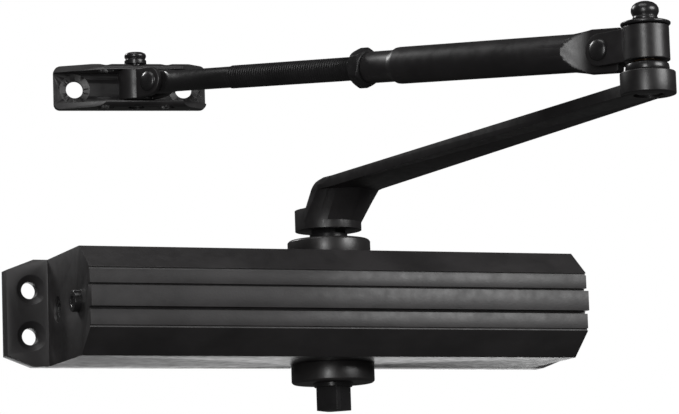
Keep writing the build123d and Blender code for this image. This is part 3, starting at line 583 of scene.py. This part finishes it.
class CLOSER_OT_main_arm(bpy.types.Operator):
    """Forge the main arm: hub, cranked strap and elbow boss."""

    bl_idname = "closer.main_arm"
    bl_label = "Forge Main Arm"

    def strap(self, size, reach):
        """The strap: as wide as the hub over the neck, then tapered to the elbow."""
        wide = size.hub_r - 0.05 * MM
        near, far = size.strap_hub_width / 2, size.strap_elbow_width / 2
        rings = []
        for x, side in ((5 * MM, wide), (14 * MM, wide), (24 * MM, near), (reach, far)):
            top = size.strap_top_hub + (size.strap_top_elbow - size.strap_top_hub) * x / reach
            low = top - size.strap_thick
            corners = ((-side, low), (side, low), (side, top), (-side, top))
            rings.append([Vector((x, y, z)) for y, z in corners])
        return skin("strap", rings)

    def neck(self, size):
        """The neck: from the hub's round up to the strap, with a flatter front, leaning out."""
        wide, foot = size.hub_r - 0.05 * MM, size.hub_bottom + size.hub_rim
        narrow = math.sqrt(wide**2 - size.neck_foot**2)
        high = size.strap_top_hub - size.strap_thick / 2
        middle = (size.neck_near + size.neck_far) / 2
        lean = (size.neck_far - size.neck_near) / 2
        low_ring, high_ring = [], []
        for step in range(33):
            turn = math.pi * (step / 32 - 0.5)
            share = math.sin(turn)
            y = narrow * share
            low_ring.append(Vector((math.sqrt(wide**2 - y**2), y, foot)))
            out = middle + lean * share + size.neck_bulge * (1 - share**2)
            high_ring.append(Vector((out, wide * share, high)))
        for ring, z, half in ((low_ring, foot, narrow), (high_ring, high, wide)):
            ring.extend((Vector((-size.neck_foot, half, z)), Vector((-size.neck_foot, -half, z))))
        return skin("neck", [low_ring, high_ring])

    def behind(self, size):
        """The space above the hub and behind the neck, where the arm screw stands."""
        back = [(4.8, 42.9), (7.4, 46.4), (10.0, 49.8), (11.4, 51.1), (13.2, 52.1), (15.4, 52.9), (18.5, 53.6)]
        outline = [(x * MM, z * MM) for x, z in back]
        top = size.boss_top
        outline += [(18.5 * MM, top), (-40 * MM, top), (-40 * MM, size.hub_top)]
        return skin("behind", [[Vector((x, y, z)) for x, z in outline] for y in (-30 * MM, 30 * MM)])

    def execute(self, context):
        size = context.scene.closer_arm
        reach = flat(elbow - spindle).length
        at_boss = Matrix.Translation((reach, 0, 0))
        arm = self.strap(size, reach)
        combine(arm, self.neck(size), "UNION")
        hub = turned("hub", [(size.hub_bottom, size.hub_r), (size.hub_top, size.hub_r)], 96)
        combine(arm, hub, "UNION")
        cut(arm, self.behind(size))
        soften(arm, size.forged_r / MM, 3, 32.0)
        boss = turned("boss", [(size.boss_bottom, size.boss_r), (size.boss_top, size.boss_r)], 96)
        place(soften(boss, 0.45, 3), at_boss)
        weld(arm, boss)
        arm.name = arm.data.name = "main_arm_shaped"
        bore = turned("bore", [(size.hub_bottom - MM, 8.0 * MM), (size.hub_top + MM, 8.0 * MM)], 4)
        seat = drum("seat", size.seat_r, size.hub_top - 0.1 * MM, size.hub_top + 20 * MM)
        recess = drum("recess", size.stud_head_r, size.boss_bottom - MM, size.boss_bottom + 2.7 * MM)
        cut(arm, bore, seat, place(recess, at_boss))
        place(smooth(arm, 35.0), at_arm)
        finish_piece(arm, "spindle_arm", "main_arm", finishes()["arm_black"])
        return {"FINISHED"}


class CLOSER_OT_elbow(bpy.types.Operator):
    """Turn the elbow's stack: stud, spacer collar, brimmed washer and domed cap."""

    bl_idname = "closer.elbow"
    bl_label = "Turn Elbow Stack"

    def execute(self, context):
        made = finishes()
        arm = context.scene.closer_arm
        knuckle_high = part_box("elbow_knuckle")[1].z
        washer_low, washer_high = (corner.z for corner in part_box("elbow_washer"))
        cap_low, cap_high = (corner.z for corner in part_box("elbow_nut"))
        spacer_low, spacer_high = (corner.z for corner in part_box("elbow_spacer"))
        low = arm.boss_bottom + 0.3 * MM
        stud = turned(
            "elbow_stud_shaped",
            [
                (low, 3.6 * MM),
                (low + 0.4 * MM, 5.0 * MM),
                (low + 1.2 * MM, 5.4 * MM),
                (low + 2.3 * MM, 5.4 * MM),
                (low + 2.31 * MM, 4.0 * MM),
                (cap_low + 2.9 * MM, 4.0 * MM),
            ],
        )
        spacer = turned(
            "elbow_spacer_shaped",
            [
                (spacer_low, 7.2 * MM),
                (spacer_low + 0.5 * MM, 8.0 * MM),
                (spacer_low + 1.4 * MM, 8.15 * MM),
                (spacer_high - 0.5 * MM, 7.9 * MM),
                (spacer_high, 7.0 * MM),
            ],
            72,
        )
        washer = turned(
            "elbow_washer_shaped",
            [
                (washer_low, 8.9 * MM),
                (washer_low + 0.5 * MM, 9.25 * MM),
                (washer_low + 1.1 * MM, 9.2 * MM),
                (washer_low + 1.4 * MM, 8.4 * MM),
                (washer_high, 6.6 * MM),
            ],
            72,
        )
        tall = cap_high - cap_low
        cap = turned(
            "elbow_nut_shaped",
            [
                (cap_low, 4.5 * MM),
                (cap_low + 0.12 * tall, 4.75 * MM),
                (cap_low + 0.22 * tall, 4.4 * MM),
                (cap_low + 0.34 * tall, 4.9 * MM),
                (cap_low + 0.46 * tall, 5.18 * MM),
                (cap_low + 0.62 * tall, 5.1 * MM),
                (cap_low + 0.78 * tall, 4.5 * MM),
                (cap_low + 0.9 * tall, 3.4 * MM),
                (cap_low + 0.97 * tall, 2.0 * MM),
                (cap_high, 0.7 * MM),
            ],
            72,
        )
        for piece, node in (
            (stud, "elbow_stud"),
            (spacer, "elbow_spacer"),
            (washer, "elbow_washer"),
            (cap, "elbow_nut"),
        ):
            if piece is not stud:
                bore = drum("bore", 4.0 * MM, 0.0, knuckle_high + 4.9 * MM)
                cut(piece, bore)
            modify(piece, "BEVEL", width=0.18 * MM, segments=2, limit_method="ANGLE", angle_limit=0.6)
            place(smooth(piece, 50.0), at_elbow)
            finish_piece(piece, "spindle_arm", node, made["hardware_black"])
        return {"FINISHED"}


class CLOSER_OT_forks(bpy.types.Operator):
    """Forge the two forks: the elbow knuckle and the shoe's swivel block."""

    bl_idname = "closer.forks"
    bl_label = "Forge Forks"

    def fork(self, name, half, sleeve_r, bore_r, reach, ear_r, grain):
        """A sleeve on z with two round-ended ears along x, which grow deeper towards it."""
        gap, thick = 2.45 * MM, 2.6 * MM
        fork = turned(name, [(-half, sleeve_r), (half, sleeve_r)], 96)
        deep = half - 0.05 * MM
        for side in (-1, 1):
            inner, outer = side * gap, side * (gap + thick)
            low, high = min(inner, outer), max(inner, outer)
            corners = [(0, -deep), (reach, -ear_r), (reach, ear_r), (0, deep)]
            ear = skin("ear", [[Vector((x, y, z)) for x, z in corners] for y in (low, high)])
            tip = drum("tip", ear_r, low, high, 48, "Y")
            place(tip, Matrix.Translation((reach, 0, 0)))
            weld(fork, weld(ear, tip))
        forged(fork, grain, 4)
        start = sleeve_r + 0.4 * MM
        slot = bar("slot", (start, -gap, -half * 2), (reach * 2, gap, half * 2))
        cut(fork, slot, drum("bore", bore_r, -half * 2, half * 2))
        return smooth(fork, 40.0)

    def execute(self, context):
        made = finishes()
        low, high = (corner.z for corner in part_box("elbow_knuckle"))
        pin_reach = flat(elbow_pin - elbow).length
        half = (high - low) / 2
        knuckle = self.fork(
            "elbow_knuckle_shaped",
            half,
            sleeve_r=8.55 * MM,
            bore_r=5.25 * MM,
            reach=pin_reach,
            ear_r=6.05 * MM,
            grain=0.25,
        )
        place(knuckle, at_knuckle)
        finish_piece(knuckle, "knuckle", "elbow_knuckle", made["arm_black"])
        low, high = (corner.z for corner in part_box("swivel_block"))
        pin_reach = flat(shoe_pin - pivot).length
        half = (high - low) / 2
        swivel = self.fork(
            "swivel_block_shaped",
            half,
            sleeve_r=7.35 * MM,
            bore_r=3.0 * MM,
            reach=pin_reach,
            ear_r=5.95 * MM,
            grain=0.22,
        )
        place(swivel, at_swivel)
        finish_piece(swivel, "swivel", "swivel_block", made["arm_black"])
        for node, body, matrix, reach in (
            ("tube_rivet", "knuckle", at_knuckle, flat(elbow_pin - elbow).length),
            ("rod_rivet", "swivel", at_swivel, pin_reach),
        ):
            rivet = self.rivet(node + "_shaped")
            place(rivet, matrix @ Matrix.Translation((reach, 0, 0)) @ Matrix.Rotation(math.pi / 2, 4, "X"))
            finish_piece(rivet, body, node, made["hardware_black"])
        return {"FINISHED"}

    def rivet(self, name):
        """A rivet on z with a low head at each end."""
        half = 5.05  # from the middle to the ears' outer faces, in millimetres
        top = [(half, 2.58), (half + 0.01, 4.15), (half + 0.45, 4.1), (half + 1.0, 3.4), (half + 1.35, 2.2)]
        top += [(half + 1.55, 0.8)]
        profile = [(-z, r) for z, r in reversed(top)] + top
        return smooth(turned(name, [(z * MM, r * MM) for z, r in profile], 48), 50.0)


class CLOSER_OT_forearm(bpy.types.Operator):
    """Press the tube's flat end and swage its collar; thread and flatten the rod."""

    bl_idname = "closer.forearm"
    bl_label = "Make Forearm"

    def ring(self, x, radius, tall, limit, sides=72):
        """A round section, pressed flat at the sides to limit and drawn to tall."""
        points = []
        for i in range(sides):
            turn = 2 * math.pi * i / sides
            across = max(-limit, min(limit, radius * math.cos(turn)))
            points.append(Vector((x, across, tall * math.sin(turn))))
        return points

    def tube(self, size):
        """The tube from its flat end to its collar."""
        half = size.flat_thick / 2
        flat_end, round_start = size.flat_end, size.round_start
        rings = []
        for x, shrink in ((-size.flat_past, 0.9), (-size.flat_past + 0.3 * MM, 0.95)):
            rings.append(self.ring(x, size.tube_r, size.flat_height / 2 * shrink, half * shrink))
        steps = 24
        for i in range(steps + 1):
            x = -size.flat_past + 1.0 * MM + (round_start + size.flat_past - 1.0 * MM) * i / steps
            share = max(0.0, (x - flat_end) / (round_start - flat_end))
            limit = half + (size.tube_r - half) * share**1.35
            tall = size.flat_height / 2 + (size.tube_r - size.flat_height / 2) * min(1.0, share * 1.2) ** 0.8
            rings.append(self.ring(x, size.tube_r, tall, limit))
        for x, radius in (
            (30 * MM, size.tube_r),
            (size.collar_start - 3 * MM, size.tube_r),
            (size.collar_start - 1.8 * MM, size.tube_r - 0.12 * MM),
            (size.collar_start - 0.6 * MM, size.collar_r + 0.25 * MM),
            (size.collar_start + 0.4 * MM, size.collar_r),
            (size.tube_end - 0.5 * MM, size.collar_r),
            (size.tube_end, size.collar_r - 0.4 * MM),
        ):
            rings.append(self.ring(x, radius, radius, radius))
        tube = skin("forearm_tube_shaped", rings)
        bore = drum("bore", size.rod_r + 0.12 * MM, size.rod_start - 20 * MM, size.tube_end + MM, 64, "X")
        hole = drum("hole", 2.6 * MM, -9 * MM, 9 * MM, 48, "Y")
        cut(tube, bore, hole)
        return smooth(tube, 25.0)

    def rod(self, size, reach):
        """The rod: a real thread, a plain stretch and a flattened eye."""
        plain = reach - size.rod_plain
        root = size.rod_r - size.rod_thread_depth
        turns = round((plain - size.rod_start) / size.rod_pitch)
        pitch = (plain - size.rod_start) / turns
        steps = 28
        profile = [(0.0, root), (0.12, root), (0.44, size.rod_r), (0.56, size.rod_r), (0.88, root)]
        rows = []
        for i in range(turns * steps + 1):
            turn = 2 * math.pi * i / steps
            start = size.rod_start + pitch * i / steps
            rows.append([self.thread_point(start, turn, along * pitch, radius) for along, radius in profile])
        mesh = bpy.data.meshes.new("thread")
        shell = bmesh.new()
        lines = [[shell.verts.new(point) for point in row] for row in rows]
        for here, there in zip(lines, lines[1:]):
            for j in range(len(profile) - 1):
                shell.faces.new((here[j], here[j + 1], there[j + 1], there[j]))
        for i in range(len(lines) - steps - 1):
            shell.faces.new((lines[i][-1], lines[i + steps][0], lines[i + steps + 1][0], lines[i + 1][-1]))
        bmesh.ops.recalc_face_normals(shell, faces=shell.faces)
        shell.to_mesh(mesh)
        shell.free()
        thread = bpy.data.objects.new("thread", mesh)
        bpy.context.scene.collection.objects.link(thread)
        half, eye = 2.05 * MM, size.eye_height / 2
        rings = [
            self.ring(size.rod_start + 0.2 * MM, root, root, root, 56),
            self.ring(plain - 1.2 * MM, root, root, root, 56),
            self.ring(plain, root, root, root, 56),
            self.ring(plain + 0.5 * MM, size.rod_plain_r, size.rod_plain_r, size.rod_plain_r, 56),
            self.ring(reach - 11 * MM, size.rod_plain_r, size.rod_plain_r, size.rod_plain_r, 56),
        ]
        for share in (0.2, 0.4, 0.6, 0.8, 1.0):
            limit = size.rod_plain_r + (half - size.rod_plain_r) * share
            tall = size.rod_plain_r + (eye - size.rod_plain_r) * share**0.7
            rings.append(self.ring(reach - 11 * MM + 5 * MM * share, size.rod_plain_r, tall, limit, 56))
        rings.append(self.ring(reach, size.rod_plain_r, eye, half, 56))
        corner = size.eye_corner
        start = reach + size.eye_past - corner
        for step in range(7):
            lean = math.pi / 2 * step / 6.2
            tall = eye - corner * (1 - math.cos(lean))
            rings.append(self.ring(start + corner * math.sin(lean), size.rod_plain_r, tall, half, 56))
        core = skin("threaded_rod_shaped", rings)
        cut(core, self.rivet_hole(reach))
        pick(core)
        thread.select_set(True)
        bpy.ops.object.join()
        return smooth(core, 30.0)

    def rivet_hole(self, reach):
        """The hole in the rod's eye."""
        hole = drum("hole", 2.6 * MM, -9 * MM, 9 * MM, 48, "Y")
        return place(hole, Matrix.Translation((reach, 0, 0)))

    def thread_point(self, start, turn, along, radius):
        """A point of the thread's helix."""
        return Vector((start + along, radius * math.cos(turn), radius * math.sin(turn)))

    def execute(self, context):
        made = finishes()
        size = context.scene.closer_forearm
        tube = place(self.tube(size), at_tube)
        finish_piece(tube, "tube", "forearm_tube", made["arm_black"])
        rod = place(self.rod(size, (shoe_pin - elbow_pin).length), at_tube)
        finish_piece(rod, "rod", "threaded_rod", made["rod_black"])
        return {"FINISHED"}


class CLOSER_OT_shoe(bpy.types.Operator):
    """Fold the frame shoe and turn its pivot bolt."""

    bl_idname = "closer.shoe"
    bl_label = "Fold Frame Shoe"

    def channel(self, size):
        """The folded channel with tapered flanges, its holes and their dishes."""
        half_l, half_h = size.long / 2, size.high / 2
        shoe = bar("shoe_bracket_shaped", (-half_l, -size.deep, -half_h), (half_l, 0, half_h))
        self.round_edges(shoe, 1, size.corner_r)
        edit(shoe, "DESELECT")
        bpy.ops.object.mode_set(mode="OBJECT")
        for edge in shoe.data.edges:
            ends = [shoe.data.vertices[i].co for i in edge.vertices]
            edge.select = all(abs(end.y) < 1e-6 for end in ends) and abs(ends[0].x - ends[1].x) > 10 * MM
        bpy.ops.object.mode_set(mode="EDIT")
        bpy.ops.mesh.bevel(offset=size.bend_r, segments=6)
        done(shoe)
        inner = half_h - size.wall
        hollow = bar("hollow", (-half_l * 2, -size.deep * 2, -inner), (half_l * 2, -size.wall, inner))
        cut(shoe, hollow)
        for side, taper in ((-1, size.taper_left), (1, size.taper_right)):
            shift = Matrix.Translation((side * size.hole_pitch / 2, 0, 0))
            hole = place(drum("hole", size.hole_r, -20 * MM, 20 * MM, 48, "Y"), shift)
            cut(shoe, self.slant(size, side, taper), hole, place(self.dish(size), shift))
        for step in (-1, 0, 1):
            hole = drum("hole", size.pivot_hole_r, -20 * MM, 20 * MM)
            x = step * size.pivot_pitch - size.offset
            cut(shoe, place(hole, Matrix.Translation((x, -size.pivot_deep, 0))))
        return soften(shoe, 0.35, 3)

    def round_edges(self, piece, way, radius):
        """Round the edges that run along one axis."""
        edit(piece, "DESELECT")
        bpy.ops.object.mode_set(mode="OBJECT")
        for edge in piece.data.edges:
            run = piece.data.vertices[edge.vertices[0]].co - piece.data.vertices[edge.vertices[1]].co
            edge.select = abs(run[way]) > 0.99 * run.length
        bpy.ops.object.mode_set(mode="EDIT")
        bpy.ops.mesh.bevel(offset=radius, segments=6)
        done(piece)

    def dish(self, size):
        """The shallow dish pressed round a screw hole."""
        profile = [(-0.75 * MM, size.hole_r - 0.3 * MM), (-0.2 * MM, size.dish_r), (MM, size.dish_r)]
        dish = turned("dish", profile, 48)
        return place(dish, Matrix.Translation((0, -size.wall, 0)) @ Matrix.Rotation(math.pi / 2, 4, "X"))

    def slant(self, size, side, taper):
        """The wedge cut from each flange's end."""
        end, start = side * (size.long / 2 + 2 * MM), side * (size.long / 2 - taper)
        drop = (size.deep - size.end_deep) / taper
        end_y = -size.end_deep + 2 * MM * drop
        out = -size.deep - 5 * MM
        corners = [(start, -size.deep), (end, end_y), (end, out), (start, out)]
        return skin("slant", [[Vector((x, y, z)) for x, y in corners] for z in (-size.high, size.high)])

    def bolt(self):
        """The pivot pin with its collar, waist and rounded head."""
        low, high = (corner.z - pivot.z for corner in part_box("shoe_bolt"))
        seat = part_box("shoe_bracket")[1].z - pivot.z
        collar, waist = seat + 1.8 * MM, seat + 2.3 * MM
        rise = high - waist
        profile = [
            (low, 2.5 * MM),
            (low + 0.4 * MM, 2.93 * MM),
            (seat, 2.93 * MM),
            (seat + 0.01 * MM, 4.5 * MM),
            (seat + 0.3 * MM, 4.58 * MM),
            (collar - 0.2 * MM, 4.55 * MM),
            (collar, 4.2 * MM),
            (waist, 4.0 * MM),
            (waist + 0.15 * rise, 4.35 * MM),
            (waist + 0.35 * rise, 4.53 * MM),
            (waist + 0.6 * rise, 4.5 * MM),
            (waist + 0.8 * rise, 4.1 * MM),
            (waist + 0.93 * rise, 3.4 * MM),
            (high, 2.2 * MM),
        ]
        return smooth(turned("shoe_bolt_shaped", profile, 56), 50.0)

    def execute(self, context):
        made = finishes()
        size = context.scene.closer_shoe
        shoe = place(self.channel(size), at_shoe)
        finish_piece(shoe, "shoe", "shoe_bracket", made["shoe_black"])
        bolt = place(self.bolt(), at_pivot)
        finish_piece(bolt, "shoe", "shoe_bolt", made["hardware_black"])
        return {"FINISHED"}


class CLOSER_OT_stage(bpy.types.Operator):
    """Set the floor, the lights and the camera."""

    bl_idname = "closer.stage"
    bl_label = "Set Stage"

    def softbox(self, name, power, size, place_at, target):
        """A rectangular light that faces a target and is hidden from the camera alone."""
        deselect()
        bpy.ops.object.light_add(type="AREA", location=place_at)
        lamp = bpy.context.object
        lamp.name = name
        lamp.data.energy = power
        lamp.data.shape = "RECTANGLE"
        lamp.data.size, lamp.data.size_y = size
        lamp.visible_camera = False
        lamp.rotation_euler = (Vector(target) - Vector(place_at)).to_track_quat("-Z", "Y").to_euler()

    def light_only(self, lamp, piece):
        """Let a lamp light one piece alone."""
        lit = bpy.data.collections.new(lamp + "_lit")
        lit.objects.link(piece)
        bpy.data.objects[lamp].light_linking.receiver_collection = lit

    def execute(self, context):
        stage = context.scene.closer_stage
        deselect()
        bpy.ops.mesh.primitive_plane_add(size=stage.floor_size, location=(0, 0, -stage.floor_drop))
        floor = named("studio_floor")
        pale, shader, coordinates = new_finish("Pale Floor")
        links = pale.node_tree.links
        mottle = ramp(pale, noise(pale, coordinates, 6.0), (0.62, 0.62, 0.62), (0.66, 0.66, 0.66))
        links.new(mottle, shader.inputs["Base Color"])
        shader.inputs["Roughness"].default_value = 0.6
        floor.data.materials.append(pale)
        floor.visible_diffuse = False
        floor.visible_glossy = False
        deselect()
        bpy.ops.object.light_add(type="SUN", location=(0, 0, 3))
        wash = context.object
        wash.name = "wash"
        wash.data.energy = stage.floor_light
        self.light_only("wash", floor)
        middle = (0.0, -0.08, 0.02)
        self.softbox("key", stage.key_power, (1.0, 0.7), (1.0, -1.5, 0.55), middle)
        self.softbox("front", stage.front_power, (0.3, 1.1), (-0.95, -1.5, 0.05), middle)
        self.softbox("left", stage.left_power, (0.3, 0.5), (-0.85, 1.2, 1.1), middle)
        self.softbox("top", stage.top_power, (1.2, 0.7), (-0.5, -0.5, 1.5), middle)
        self.softbox("back", stage.back_power, (1.6, 0.7), (0.6, 1.5, -0.16), middle)
        self.light_only("back", bpy.data.objects["body_casting_shaped"])
        world = bpy.data.worlds.new("Studio")
        world.use_nodes = True
        tree = world.node_tree
        background = tree.nodes["Background"]
        background.inputs["Color"].default_value = (1, 1, 1, 1)
        seen = tree.nodes.new("ShaderNodeLightPath").outputs["Is Camera Ray"]
        strength = tree.nodes.new("ShaderNodeMapRange")
        strength.inputs["To Min"].default_value = stage.world_strength
        strength.inputs["To Max"].default_value = 1.0
        tree.links.new(seen, strength.inputs["Value"])
        tree.links.new(strength.outputs["Result"], background.inputs["Strength"])
        context.scene.world = world
        context.scene.view_settings.view_transform = "Standard"
        deselect()
        bpy.ops.object.camera_add(
            location=(-0.4901, -1.3118, -0.1506),
            rotation=tuple(math.radians(a) for a in (98.013, 1.858, -21.155)),
        )
        camera = bpy.context.object
        camera.data.sensor_width = 36
        camera.data.lens = 176.2
        camera.data.clip_start = 0.01
        context.scene.camera = camera
        return {"FINISHED"}


class CLOSER_PT_panel(bpy.types.Panel):
    """Lists the closer's building steps."""

    bl_label = "Door Closer"
    bl_idname = "CLOSER_PT_panel"
    bl_space_type = "VIEW_3D"
    bl_region_type = "UI"
    bl_category = "Closer"

    def draw(self, context):
        for operator in OPERATORS:
            self.layout.operator(operator.bl_idname)


OPERATORS = (
    CLOSER_OT_finishes,
    CLOSER_OT_body,
    CLOSER_OT_main_arm,
    CLOSER_OT_elbow,
    CLOSER_OT_forks,
    CLOSER_OT_forearm,
    CLOSER_OT_shoe,
    CLOSER_OT_stage,
)
CLASSES = (*GROUPS.values(), *OPERATORS, CLOSER_PT_panel)


def register():
    """Register the classes and hang the sizes on the scene."""
    for item in CLASSES:
        bpy.utils.register_class(item)
    for name, group in GROUPS.items():
        setattr(bpy.types.Scene, name, PointerProperty(type=group))


def unregister():
    """Take the sizes and classes away again."""
    for name in GROUPS:
        delattr(bpy.types.Scene, name)
    for item in reversed(CLASSES):
        bpy.utils.unregister_class(item)


def main():
    register()
    for operator in OPERATORS:
        group, step = operator.bl_idname.split(".")
        getattr(getattr(bpy.ops, group), step)()
    deselect()


if __name__ == "__main__":
    main()
